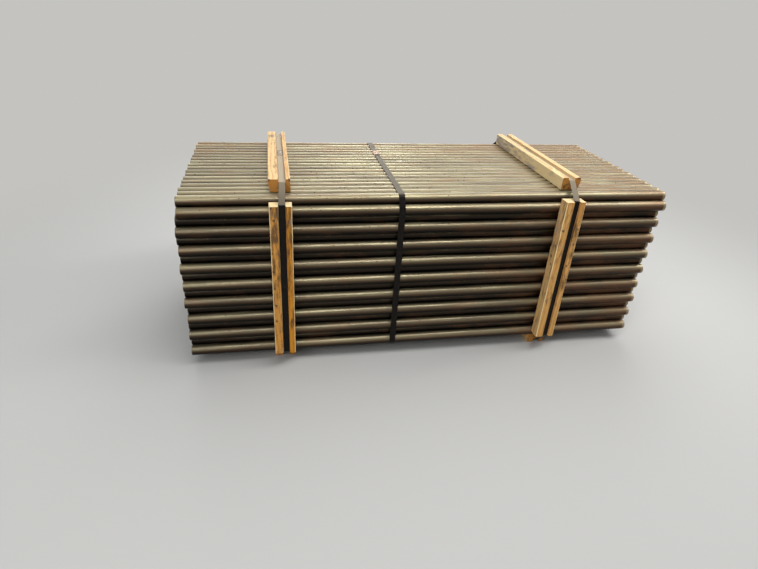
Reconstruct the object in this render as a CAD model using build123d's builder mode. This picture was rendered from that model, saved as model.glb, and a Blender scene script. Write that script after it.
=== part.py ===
"""A strapped bundle of plain-end steel pipes on grooved wooden battens.

The pipes run along X and nest in rows, so the bundle's section is a honeycomb.
Two frames of four grooved battens and three flat steel straps hold the rows together.
The front of the bundle faces -Y, and the bottom battens stand on Z = 0.
"""

import os
from collections import namedtuple
from math import pi, sin, sqrt

from build123d import *

# Pipes: 1 inch nominal, schedule 40, cut 5 feet long
pipe_od = 33.4
pipe_wall = 3.38
pipe_length = 1524.0
nest_gap = 0.1
row_count = 18
full_row_count = 19
core_web = 5.0

# Flat sides that stand for a round, few because there are 333 pipes
pipe_side_count = 16
hidden_side_count = 8
bore_side_count = 6

# Pipes whose bores are exactly round: places in the top row, and rows of the front face
round_bore_places = (0, 2, 5, 8, 11, 14, 17)
round_bore_rows = (0, 2, 5, 11, 14)

# How far the cut ends wander, and how far the two top rows have slid along
end_wander = 2.0
wander_steps = (0, 1, -0.6, 0.4, -1, 0.7, -0.3)
wander_row_steps = 3
top_slide = 9.0
slid_rows = 2

# Battens: dressed 2 by 3 inch timber with a strap groove in the outer face
batten_width = 63.5
batten_thickness = 38.1
batten_ease = 2.0
groove_depth = 8.0
groove_clearance = 0.6
seat_gap = 0.1
left_x = -474.0
right_x = 419.0
right_top_shift = 21.0

# Grooves off the middle of their battens
left_top_groove = 8.0
right_top_groove = 0.0
side_groove = 3.5

# Where each batten stops, measured from the bundle's own faces
top_inset_front = 54.0
top_inset_back = 20.0
bottom_inset_left = 33.0
bottom_inset_right = 17.0
front_drop = 10.0
back_drop = 20.0
side_rise = 22.0

# Bark edge that the saw left along one lower edge of each top batten
wane_width = 7.0
wane_height = 24.0

# Straps: 3/4 inch flat steel, with crimped seals
strap_width = 19.05
strap_thickness = 0.8
wrap_gap = 0.3
middle_strap_x = -118.0
seal_length = 45.0
seal_wall = 0.8
seal_gap = 0.1
seal_notch_width = 4.0
seal_notch_depth = 2.5
seal_notch_spacing = 20.0
tail_overhang = 12.0
left_seal_y = 40.0
middle_seal_y = 150.0
right_seal_y = 87.0

# Sizes that follow from the ones above
pipe_radius = pipe_od / 2
bore_radius = pipe_radius - pipe_wall
flat_bore_radius = bore_radius * sqrt(2 * pi / (bore_side_count * sin(2 * pi / bore_side_count)))
pitch = pipe_od + nest_gap
row_rise = pitch * sqrt(3) / 2
half_depth = (full_row_count - 1) / 2 * pitch + pipe_radius
pipes_bottom = batten_thickness + seat_gap
pipes_top = pipes_bottom + pipe_od + (row_count - 1) * row_rise
top_seat = pipes_top + seat_gap
side_seat = half_depth + seat_gap
front_top = pipes_top - front_drop
back_top = pipes_top - back_drop
side_bottom = pipes_bottom + side_rise
seal_inside_width = strap_width + 2 * seal_gap
seal_outside_width = seal_inside_width + 2 * seal_wall
groove_width = seal_outside_width + 2 * groove_clearance


def row_pipes(row):
    """Number of pipes in a row counted from the bottom; every second row is one short."""
    return full_row_count - row % 2


def pipe_centre(row, place):
    """Centre (y, z) of one pipe, counted from the front of its row."""
    y = (place - (row_pipes(row) - 1) / 2) * pitch
    z = pipes_bottom + pipe_radius + row * row_rise
    return y, z


def pipe_start(row, place):
    """X of a pipe's left end: rows slide a little, and single pipes wander about that."""
    slide = top_slide / 2 if row >= row_count - slid_rows else -top_slide / 2
    step = wander_steps[(wander_row_steps * row + place) % len(wander_steps)]
    return slide + end_wander * step - pipe_length / 2


def flat_sided_bore():
    """Cut a bore with a few flats and the area of the round one."""
    RegularPolygon(
        flat_bore_radius, bore_side_count, rotation=180 / bore_side_count, mode=Mode.SUBTRACT
    )


def mitre(before, here, after):
    """Step (y, z) from the inner to the outer corner of a flat band that turns at one point."""
    way_in = (here - before).normalized()
    way_out = (after - here).normalized()
    normal_in = Vector(way_in.Y, -way_in.X)
    normal_out = Vector(way_out.Y, -way_out.X)
    return (normal_in + normal_out) * (strap_thickness / (1 + normal_in.dot(normal_out)))


def band_sections(corners):
    """Planes across a closed strap, one at each corner, with the strap's thickness there.

    Each corner is (x, y, z) on the strap's inner side, listed round the front from the top.
    """
    sections = []
    loop = [Vector(y, z) for _, y, z in corners]
    for index, (x, y, z) in enumerate(corners):
        step = mitre(loop[index - 1], loop[index], loop[(index + 1) % len(loop)])
        across = Vector(0, step.X, step.Y)
        middle = Vector(x, y, z) + across / 2
        plane = Plane(origin=middle, x_dir=(1, 0, 0), z_dir=Vector(1, 0, 0).cross(across))
        sections.append((plane, across.length))
    return sections


def save(piece, name):
    """Label a finished piece and write it to its own file."""
    piece.part.label = name
    export_step(piece.part, f"parts/{name}.step")


os.makedirs("parts", exist_ok=True)

# Pipes of the front face and the top row, each a tube of its own
last_row = row_count - 1
pipe_groups = {
    "front_face_pipes": [(row, 0) for row in range(last_row)],
    "top_row_pipes": [(last_row, place) for place in range(row_pipes(last_row))],
}
round_bores = [(row, 0) for row in round_bore_rows]
round_bores += [(last_row, place) for place in round_bore_places]
for group, members in pipe_groups.items():
    with BuildPart() as pipes:
        for row, place in members:
            with BuildSketch(Plane.YZ.offset(pipe_start(row, place))):
                with Locations(pipe_centre(row, place)):
                    RegularPolygon(pipe_radius, pipe_side_count)
                    if (row, place) in round_bores:
                        Circle(bore_radius, mode=Mode.SUBTRACT)
                    else:
                        flat_sided_bore()
            extrude(amount=pipe_length)
    save(pipes, group)

# All other pipes: one core with their bores, and the outline of those at its surface
core_pipes = [(row, place) for row in range(last_row) for place in range(1, row_pipes(row))]
core_front = pipe_centre(1, 0)[0] + pipe_radius + nest_gap
core_back = pipe_centre(1, row_pipes(1) - 1)[0] + pitch / 4 + core_web / 2
core_bottom = pipe_centre(0, 0)[1] - core_web
core_top = pipe_centre(last_row, 0)[1] - pipe_radius - nest_gap
surface_pipes = [
    (row, place)
    for row, place in core_pipes
    if row in (0, last_row - 1) or place in (1, row_pipes(row) - 1)
]
with BuildPart() as core:
    with BuildSketch(Plane.YZ.offset(-(pipe_length + top_slide) / 2)):
        with Locations((core_front, core_bottom)):
            Rectangle(
                core_back - core_front, core_top - core_bottom, align=(Align.MIN, Align.MIN)
            )
        with Locations([pipe_centre(*pipe) for pipe in surface_pipes]):
            RegularPolygon(pipe_radius, hidden_side_count)
        with Locations([pipe_centre(*pipe) for pipe in core_pipes]):
            flat_sided_bore()
    extrude(amount=pipe_length)
save(core, "pipe_core")


def grooved_batten(seat, run, length, groove_shift, wane_side=0):
    """Batten that starts at seat on the bundle and follows run, with its groove facing out.

    A wane_side of -1 or 1 leaves the bark edge along that lower edge, and 0 leaves none.
    """
    with BuildPart() as batten:
        with BuildSketch(Plane(origin=seat, x_dir=(1, 0, 0), z_dir=run)) as section:
            with Locations((0, batten_thickness / 2)):
                Rectangle(batten_width, batten_thickness)
            chamfer(section.vertices().group_by(Axis.Y)[-1], batten_ease)
            with Locations((groove_shift, batten_thickness)):
                Rectangle(groove_width, 2 * groove_depth, mode=Mode.SUBTRACT)
            if wane_side:
                edge_x = wane_side * batten_width / 2
                with BuildLine():
                    Polyline(
                        (edge_x, 0),
                        (edge_x - wane_side * wane_width, 0),
                        (edge_x, wane_height),
                        close=True,
                    )
                make_face(mode=Mode.SUBTRACT)
        extrude(amount=length)
    return batten


def crimped_seal(x, y, z):
    """Seal folded over both layers of a strap whose underside is at z, notched on both edges."""
    inside_height = 2 * strap_thickness + seal_gap
    with BuildPart() as seal:
        seal_start = (x, y + seal_length / 2, z)
        with BuildSketch(Plane(origin=seal_start, x_dir=(1, 0, 0), z_dir=(0, -1, 0))):
            Rectangle(
                seal_outside_width, inside_height + seal_wall, align=(Align.CENTER, Align.MIN)
            )
            Rectangle(
                seal_inside_width,
                inside_height,
                align=(Align.CENTER, Align.MIN),
                mode=Mode.SUBTRACT,
            )
        extrude(amount=seal_length)
        with BuildSketch(Plane.XY.offset(z)):
            with Locations((x, y)):
                with GridLocations(seal_outside_width, seal_notch_spacing, 2, 2):
                    Rectangle(2 * seal_notch_depth, seal_notch_width)
        extrude(amount=inside_height + seal_wall, mode=Mode.SUBTRACT)
    return seal


# Battens, strap and seal of each frame: the strap lies on the floor of every groove
groove_floor = batten_thickness - groove_depth
strap_top = top_seat + groove_floor
strap_bottom = groove_depth
strap_side = side_seat + groove_floor
top_front = top_inset_front - half_depth
top_back = half_depth - top_inset_back
tail_length = seal_length + 2 * tail_overhang
frame_names = ("side", "x", "top_x", "top_groove", "bottom_inset", "seal_y", "wane")
Frame = namedtuple("Frame", frame_names)
left_frame = Frame("left", left_x, left_x, left_top_groove, bottom_inset_left, left_seal_y, -1)
right_frame = Frame(
    "right",
    right_x,
    right_x + right_top_shift,
    right_top_groove,
    bottom_inset_right,
    right_seal_y,
    1,
)
for side, x, top_x, top_groove, bottom_inset, seal_y, wane in (left_frame, right_frame):
    bottom_end = half_depth - bottom_inset

    top = grooved_batten(
        (top_x, top_back, top_seat), (0, -1, 0), top_back - top_front, top_groove, wane
    )
    save(top, f"top_batten_{side}")
    bottom = grooved_batten(
        (x, -bottom_end, batten_thickness), (0, 1, 0), 2 * bottom_end, side_groove
    )
    save(bottom, f"bottom_batten_{side}")
    front = grooved_batten(
        (x, -side_seat, front_top), (0, 0, -1), front_top - side_bottom, side_groove
    )
    save(front, f"front_batten_{side}")
    back = grooved_batten(
        (x, side_seat, side_bottom), (0, 0, 1), back_top - side_bottom, side_groove
    )
    save(back, f"back_batten_{side}")

    top_strap_x = top_x + top_groove
    side_strap_x = x + side_groove
    sections = band_sections(
        [
            (top_strap_x, top_front, strap_top),
            (side_strap_x, -strap_side, front_top),
            (side_strap_x, -strap_side, side_bottom),
            (side_strap_x, -bottom_end, strap_bottom),
            (side_strap_x, bottom_end, strap_bottom),
            (side_strap_x, strap_side, side_bottom),
            (side_strap_x, strap_side, back_top),
            (top_strap_x, top_back, strap_top),
        ]
    )
    with BuildPart() as strap:
        for index, ends in enumerate(sections):
            for plane, thickness in (ends, sections[index - 1]):
                with BuildSketch(plane):
                    Rectangle(strap_width, thickness)
            loft(ruled=True)
        with BuildSketch(Plane.XY.offset(strap_top)):
            with Locations((top_strap_x, seal_y)):
                Rectangle(strap_width, tail_length)
        extrude(amount=2 * strap_thickness)
    save(strap, f"strap_{side}")
    save(crimped_seal(top_strap_x, seal_y, strap_top), f"strap_seal_{side}")

# Middle strap: drawn tight round the pipes themselves
corner_pipes = [
    pipe_centre(row, place)
    for row in (0, last_row - 1, last_row)
    for place in (0, row_pipes(row) - 1)
]
wrap_radius = pipe_radius + wrap_gap
wrap_top = pipes_top + wrap_gap
with BuildPart() as middle_strap:
    for radius, mode in ((wrap_radius + strap_thickness, Mode.ADD), (wrap_radius, Mode.SUBTRACT)):
        with BuildSketch(Plane.YZ.offset(middle_strap_x - strap_width / 2)):
            with BuildLine():
                for centre in corner_pipes:
                    CenterArc(centre, radius, 0, 360)
            make_hull()
        extrude(amount=strap_width, mode=mode)
    with BuildSketch(Plane.XY.offset(wrap_top)):
        with Locations((middle_strap_x, middle_seal_y)):
            Rectangle(strap_width, tail_length)
    extrude(amount=2 * strap_thickness)
save(middle_strap, "strap_middle")
save(crimped_seal(middle_strap_x, middle_seal_y, wrap_top), "strap_seal_middle")
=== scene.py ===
"""Looks of a strapped bundle of iron pipes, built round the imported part.

The pipes lie along X, the front faces -Y and the bundle stands on Z = 0. Lengths are in metres.
"""

import logging
import math
import random
from dataclasses import dataclass, field
from enum import Enum
from functools import partial
from typing import Any, Iterable, NamedTuple, Sequence

import bmesh
import bpy
from mathutils import Euler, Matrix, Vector, noise


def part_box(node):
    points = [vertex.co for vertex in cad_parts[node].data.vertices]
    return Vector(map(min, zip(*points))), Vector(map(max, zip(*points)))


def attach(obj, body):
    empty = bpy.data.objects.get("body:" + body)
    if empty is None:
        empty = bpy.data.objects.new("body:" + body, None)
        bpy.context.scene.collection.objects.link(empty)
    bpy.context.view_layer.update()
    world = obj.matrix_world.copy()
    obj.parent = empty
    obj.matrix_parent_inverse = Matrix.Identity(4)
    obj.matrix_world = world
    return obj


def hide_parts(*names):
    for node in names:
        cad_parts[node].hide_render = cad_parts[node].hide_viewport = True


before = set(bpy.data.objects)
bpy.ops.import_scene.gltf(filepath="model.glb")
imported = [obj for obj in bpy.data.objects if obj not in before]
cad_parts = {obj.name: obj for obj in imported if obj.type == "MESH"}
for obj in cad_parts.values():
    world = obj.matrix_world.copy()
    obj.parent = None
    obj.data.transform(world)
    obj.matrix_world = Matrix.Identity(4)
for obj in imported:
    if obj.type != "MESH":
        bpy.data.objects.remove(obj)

LOG = logging.getLogger("pipe_bundle")
MM = 0.001
BODY = "root"
ACROSS = Vector((1.0, 0.0, 0.0))
UP, DOWN = Vector((0, 0, 1)), Vector((0, 0, -1))
AHEAD, BEHIND = Vector((0, -1, 0)), Vector((0, 1, 0))

Point = tuple[float, float, float]
Socket = bpy.types.NodeSocket


class Slot(Enum):
    """Material slots of the part's record."""

    PIPE = "pipe_iron"
    BATTEN = "batten_wood"
    STRAP = "strap_steel"
    SEAL = "seal_steel"


class Side(Enum):
    """Left or right, as seen from the front."""

    LEFT = "left"
    RIGHT = "right"


def linear(hex_colour: str, alpha: float = 1.0) -> tuple[float, float, float, float]:
    """Turns an sRGB hex colour into Blender's linear colour.

    Args:
        hex_colour: Colour such as "#8a5534".
        alpha: Opacity, passed on unchanged.

    Returns:
        Linear red, green, blue and alpha.
    """
    channels = []
    for start in (1, 3, 5):
        value = int(hex_colour[start : start + 2], 16) / 255
        channels.append(value / 12.92 if value <= 0.04045 else ((value + 0.055) / 1.055) ** 2.4)
    return (*channels, alpha)


def add_node(
    tree: bpy.types.NodeTree,
    kind: str,
    inputs: dict[str | int, Any] | None = None,
    **settings: Any,
) -> bpy.types.Node:
    """Adds one node with its settings, values and links.

    Args:
        tree: Shader or geometry tree that gets the node.
        kind: Blender's type name of the node.
        inputs: Input name or number, mapped to a value or to the output that feeds it.
        settings: Properties of the node, such as operation.

    Returns:
        The new node.
    """
    node = tree.nodes.new(kind)
    for name, value in settings.items():
        setattr(node, name, value)
    for key, value in (inputs or {}).items():
        if isinstance(value, Socket):
            tree.links.new(value, node.inputs[key])
        else:
            node.inputs[key].default_value = value
    return node


def new_finish(name: str) -> tuple[bpy.types.Material, bpy.types.NodeTree, bpy.types.Node]:
    """Makes an empty material with a Principled shader.

    Args:
        name: Name of the material.

    Returns:
        The material, its node tree and its Principled node.
    """
    material = bpy.data.materials.new(name)
    material.use_nodes = True
    tree = material.node_tree
    shader = next(node for node in tree.nodes if node.type == "BSDF_PRINCIPLED")
    return material, tree, shader


@dataclass(frozen=True)
class Ramp:
    """A change from low to high while a measure goes from start to end."""

    start: float = 0.0
    end: float = 1.0
    low: float = 0.0
    high: float = 1.0

    def of(self, measure: Socket) -> dict[str, Any]:
        """The ramp of one measure, as the values of a Map Range node."""
        ends = {"From Min": self.start, "From Max": self.end, "To Min": self.low, "To Max": self.high}
        return {"Value": measure, **ends}


@dataclass(frozen=True)
class Cloud:
    """A cloudy pattern: its lumps in a metre each way, how fine it gets, and its turn."""

    per_metre: Point
    detail: float = 5.0
    roughness: float = 0.6
    turn: Point = (0.0, 0.0, 0.0)

    def stretched(self, place: Socket) -> dict[str, Any]:
        """Coordinates at the pattern's size, as the values of a Mapping node."""
        return {"Vector": place, "Rotation": self.turn, "Scale": self.per_metre}

    def drawn(self, place: Socket) -> dict[str, Any]:
        """The pattern on such coordinates, as the values of a Noise node."""
        return {"Vector": place, "Scale": 1.0, "Detail": self.detail, "Roughness": self.roughness}


@dataclass(frozen=True)
class PipeIron:
    """Hot-rolled pipe iron with its mill scale on.

    The rolling leaves a brown-black skin. It stays dark on the flanks, while dust and handling
    leave the crowns khaki. Cream streaks of painted highlight run along the crowns, and painted
    shade darkens what faces down and the valleys between pipes. Damp storage pits the skin and
    starts rust, the saw leaves the cut rims bare, and painted light brightens a band at the right ends.
    """

    name: str = "hot_rolled_iron_mill_scale"
    # Painted shade on what faces down and in the valleys
    painted_shade: str = "#100d0a"
    flank: str = "#5a4939"
    # Painted shade between the pipes of the top row
    top_valley_shade: str = "#423e2d"
    crown_dark: str = "#83765e"
    crown_light: str = "#a69b78"
    # Cream of the painted highlight on the crowns
    rubbed: str = "#e0d4a6"
    warm: str = "#a27a58"
    rust: str = "#69452d"
    shade: str = "#000000"
    fleck: str = "#9a6a40"
    pit: str = "#1d1712"
    # Bare rims, and the painted light at the right ends
    bright: str = "#bfae8c"
    chalk: str = "#fbf4dc"

    # Rolling streaks of 250 by 15 mm; crowns face up, and painted shade darkens what faces down
    streaks: Cloud = Cloud((4, 65, 65))
    skin_ramp: Ramp = Ramp(0.36, 0.64)
    crown_ramp: Ramp = Ramp(0.1, 0.75)
    underside_shade_ramp: Ramp = Ramp(-0.45, 0.35)
    tint_ramp: Ramp = Ramp(low=0.85, high=1.12)

    # The outermost pipes' fronts are at 318 mm; below the top row, painted shade
    # fills the valleys, which start 6 mm further in
    valley_shade_ramp: Ramp = Ramp(312.5 * MM, 301 * MM, high=0.8)
    under_ramp: Ramp = Ramp(545 * MM, 530 * MM)

    # Painted highlight: cream streaks of 290 by 10 mm on the crowns, most round the middle strap,
    # where the pits are thickest too
    highlight_streaks: Cloud = Cloud((3.5, 95, 95), 6.0, 0.65)
    glare_and_pit_centre: Point = (-140 * MM, 80 * MM, 565 * MM)
    glare_and_pit_ramp: Ramp = Ramp(500 * MM, 100 * MM)
    highlight_push: float = 0.12
    highlight_ramp: Ramp = Ramp(0.56, 0.7, high=0.55)

    # Rust film in blooms of 40 to 125 mm, more towards the right end and the rear
    blooms: Cloud = Cloud((8, 24, 24))
    right_damp: Ramp = Ramp(100 * MM, 750 * MM, high=0.2)
    rear_damp: Ramp = Ramp(50 * MM, 300 * MM, high=0.17)
    film_ramp: Ramp = Ramp(0.53, 0.77, high=0.5)
    film_roughness: float = 0.25

    # On the top row painted shade darkens the line where two pipes meet,
    # 285 mm from the middle or less
    steep_ramp: Ramp = Ramp(0.92, 0.62, high=0.85)
    between_ramp: Ramp = Ramp(286 * MM, 282 * MM)

    # Below the top row the pipes are duller towards the left end
    left_ramp: Ramp = Ramp(-350 * MM, -600 * MM, high=0.25)

    # Orange flecks and dark pits of 3 to 5 mm on the crowns, drawn coarser than the real ones
    spots_per_metre: float = 150.0
    spot_ramp: Ramp = Ramp(0.36, 0.2)
    pit_lots: Ramp = Ramp(low=0.98, high=0.7)
    fleck_lot: float = 0.93
    pit_depth: float = -2.5

    # The last 9 mm of the right ends get painted light, and the rims are bare
    end_light_wander: float = 6 * MM
    end_light_ramp: Ramp = Ramp(1515 * MM, 1521 * MM, high=0.5)
    rim_ramp: Ramp = Ramp(0.5, 0.9, high=0.3)

    # One chalky flake on the top row, 13 mm across
    flake_place: Point = (-48.5 * MM, 52.5 * MM, 564.8 * MM)
    flake_ramp: Ramp = Ramp(8 * MM, 5 * MM)

    # Grit of 7 mm, drawn coarser than real scale, and dust that hides the metal on the crowns
    grit: Cloud = Cloud((150, 150, 150), 3.0)
    rough_ramp: Ramp = Ramp(0.3, 0.7, 0.3, 0.4)
    bump_strength: float = 0.05
    bump_depth: float = 0.2 * MM
    metallic_ramp: Ramp = Ramp(low=0.85, high=0.45)

    def build(self) -> bpy.types.Material:
        """Builds the material on object coordinates.

        Returns:
            The material; it reads the pipes' own attributes pipe_tint and along.
        """
        material, tree, shader = new_finish(self.name)
        node = partial(add_node, tree)
        place = node("ShaderNodeTexCoord").outputs["Object"]
        x, y, z = node("ShaderNodeSeparateXYZ", {0: place}).outputs
        facing = node("ShaderNodeNewGeometry").outputs["Normal"]
        endways, _, upward = node("ShaderNodeSeparateXYZ", {0: facing}).outputs
        tint = node("ShaderNodeAttribute", attribute_name="pipe_tint").outputs["Fac"]
        along = node("ShaderNodeAttribute", attribute_name="along").outputs["Fac"]
        clouds = []
        for cloud in (self.streaks, self.highlight_streaks, self.blooms, self.grit):
            stretched = node("ShaderNodeMapping", cloud.stretched(place)).outputs[0]
            clouds.append(node("ShaderNodeTexNoise", cloud.drawn(stretched)).outputs["Fac"])
        streaks, highlight_streaks, blooms, grit = clouds

        # Crowns, flanks and the painted shade under them
        skin = node("ShaderNodeMapRange", self.skin_ramp.of(streaks)).outputs[0]
        # clean is 0 where painted shade darkens what faces down, and 1 on the flanks
        crown, clean = (
            node("ShaderNodeMapRange", ramp.of(upward), interpolation_type="SMOOTHSTEP").outputs[0]
            for ramp in (self.crown_ramp, self.underside_shade_ramp)
        )
        flank_colour, crown_colour, film_colour = (
            node("ShaderNodeMix", {0: share, 6: linear(low), 7: linear(high)}, data_type="RGBA").outputs[2]
            for share, low, high in (
                (clean, self.painted_shade, self.flank),
                (skin, self.crown_dark, self.crown_light),
                (crown, self.rust, self.warm),
            )
        )
        skinned = {0: crown, 6: flank_colour, 7: crown_colour}
        base = node("ShaderNodeMix", skinned, data_type="RGBA").outputs[2]
        lighter = node("ShaderNodeMapRange", self.tint_ramp.of(tint)).outputs[0]
        base = node("ShaderNodeVectorMath", {0: base, 1: lighter}, operation="MULTIPLY").outputs[0]

        # Painted shade in the valleys below the top row, and between the pipes on it
        depth = node("ShaderNodeMath", {0: y}, operation="ABSOLUTE").outputs[0]
        under = node("ShaderNodeMapRange", self.under_ramp.of(z)).outputs[0]
        valley_shade = node("ShaderNodeMapRange", self.valley_shade_ramp.of(depth)).outputs[0]
        valley_shade = node("ShaderNodeMath", {0: valley_shade, 1: under}, operation="MULTIPLY").outputs[0]
        steep = node("ShaderNodeMapRange", self.steep_ramp.of(upward)).outputs[0]
        top_valley_shade = node("ShaderNodeMapRange", self.between_ramp.of(depth)).outputs[0]
        top_valley_shade = node("ShaderNodeMath", {0: top_valley_shade, 1: under}, operation="SUBTRACT", use_clamp=True).outputs[0]
        top_valley_shade = node("ShaderNodeMath", {0: top_valley_shade, 1: steep}, operation="MULTIPLY").outputs[0]
        dull = node("ShaderNodeMapRange", self.left_ramp.of(x)).outputs[0]
        dull = node("ShaderNodeMath", {0: dull, 1: under}, operation="MULTIPLY").outputs[0]

        # Painted highlight streaks on the crowns, and the rust film
        from_glare_and_pits, from_flake = (
            node("ShaderNodeVectorMath", {0: place, 1: centre}, operation="DISTANCE").outputs[1]
            for centre in (self.glare_and_pit_centre, self.flake_place)
        )
        # worn is highest round the middle strap: painted highlight there, and more pits
        worn = node("ShaderNodeMapRange", self.glare_and_pit_ramp.of(from_glare_and_pits)).outputs[0]
        pushed = {0: worn, 1: self.highlight_push, 2: highlight_streaks}
        highlight_streaks = node("ShaderNodeMath", pushed, operation="MULTIPLY_ADD").outputs[0]
        highlight_streaks = node("ShaderNodeMapRange", self.highlight_ramp.of(highlight_streaks)).outputs[0]
        highlight_streaks = node("ShaderNodeMath", {0: highlight_streaks, 1: crown}, operation="MULTIPLY").outputs[0]
        right = node("ShaderNodeMapRange", self.right_damp.of(x)).outputs[0]
        rear = node("ShaderNodeMapRange", self.rear_damp.of(y)).outputs[0]
        damp = node("ShaderNodeMath", {0: right, 1: rear}, operation="ADD").outputs[0]
        blooms = node("ShaderNodeMath", {0: blooms, 1: damp}, operation="ADD").outputs[0]
        film = node("ShaderNodeMapRange", self.film_ramp.of(blooms)).outputs[0]

        # Each cell of the spots draws two lots, one for a pit and one for a fleck
        grid = {"Vector": place, "Scale": self.spots_per_metre, "Randomness": 1.0}
        cells = node("ShaderNodeTexVoronoi", grid).outputs
        spots = node("ShaderNodeMapRange", self.spot_ramp.of(cells["Distance"])).outputs[0]
        spots = node("ShaderNodeMath", {0: spots, 1: crown}, operation="MULTIPLY").outputs[0]
        pit_lot = node("ShaderNodeMapRange", self.pit_lots.of(worn)).outputs[0]
        lots = node("ShaderNodeSeparateColor", {0: cells["Color"]}).outputs
        pitted, flecked = (
            node("ShaderNodeMath", {0: lot, 1: least}, operation="GREATER_THAN").outputs[0]
            for lot, least in ((lots[0], pit_lot), (lots[1], self.fleck_lot))
        )
        pits, flecks = (
            node("ShaderNodeMath", {0: spots, 1: chosen}, operation="MULTIPLY").outputs[0]
            for chosen in (pitted, flecked)
        )

        # Painted light at the right ends, the bare rims and the flake
        wandered = {0: streaks, 1: self.end_light_wander, 2: along}
        ragged = node("ShaderNodeMath", wandered, operation="MULTIPLY_ADD").outputs[0]
        end_light = node("ShaderNodeMapRange", self.end_light_ramp.of(ragged)).outputs[0]
        endways = node("ShaderNodeMath", {0: endways}, operation="ABSOLUTE").outputs[0]
        rim = node("ShaderNodeMapRange", self.rim_ramp.of(endways)).outputs[0]
        flake = node("ShaderNodeMapRange", self.flake_ramp.of(from_flake)).outputs[0]

        for share, colour in (
            # Painted shade in the valleys below the top row
            (valley_shade, linear(self.painted_shade)),
            # Painted highlight streaks on the crowns
            (highlight_streaks, linear(self.rubbed)),
            (film, film_colour),
            # Painted shade between the pipes of the top row
            (top_valley_shade, linear(self.top_valley_shade)),
            (dull, linear(self.shade)),
            (flecks, linear(self.fleck)),
            (pits, linear(self.pit)),
            # Painted light at the right ends
            (end_light, linear(self.bright)),
            (rim, linear(self.bright)),
            (flake, linear(self.chalk)),
        ):
            base = node("ShaderNodeMix", {0: share, 6: base, 7: colour}, data_type="RGBA").outputs[2]

        rough = node("ShaderNodeMapRange", self.rough_ramp.of(grit)).outputs[0]
        dry = {0: film, 1: self.film_roughness, 2: rough}
        rough = node("ShaderNodeMath", dry, operation="MULTIPLY_ADD").outputs[0]
        sunken = {0: pits, 1: self.pit_depth, 2: grit}
        height = node("ShaderNodeMath", sunken, operation="MULTIPLY_ADD").outputs[0]
        relief = {"Height": height, "Strength": self.bump_strength, "Distance": self.bump_depth}
        bump = node("ShaderNodeBump", relief).outputs[0]
        bare = node("ShaderNodeMapRange", self.metallic_ramp.of(crown)).outputs[0]
        bare = node("ShaderNodeMath", {0: bare, 1: flake}, operation="SUBTRACT", use_clamp=True).outputs[0]
        looks = {"Base Color": base, "Metallic": bare, "Roughness": rough, "Normal": bump}
        for name, value in looks.items():
            tree.links.new(value, shader.inputs[name])
        return material


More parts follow.
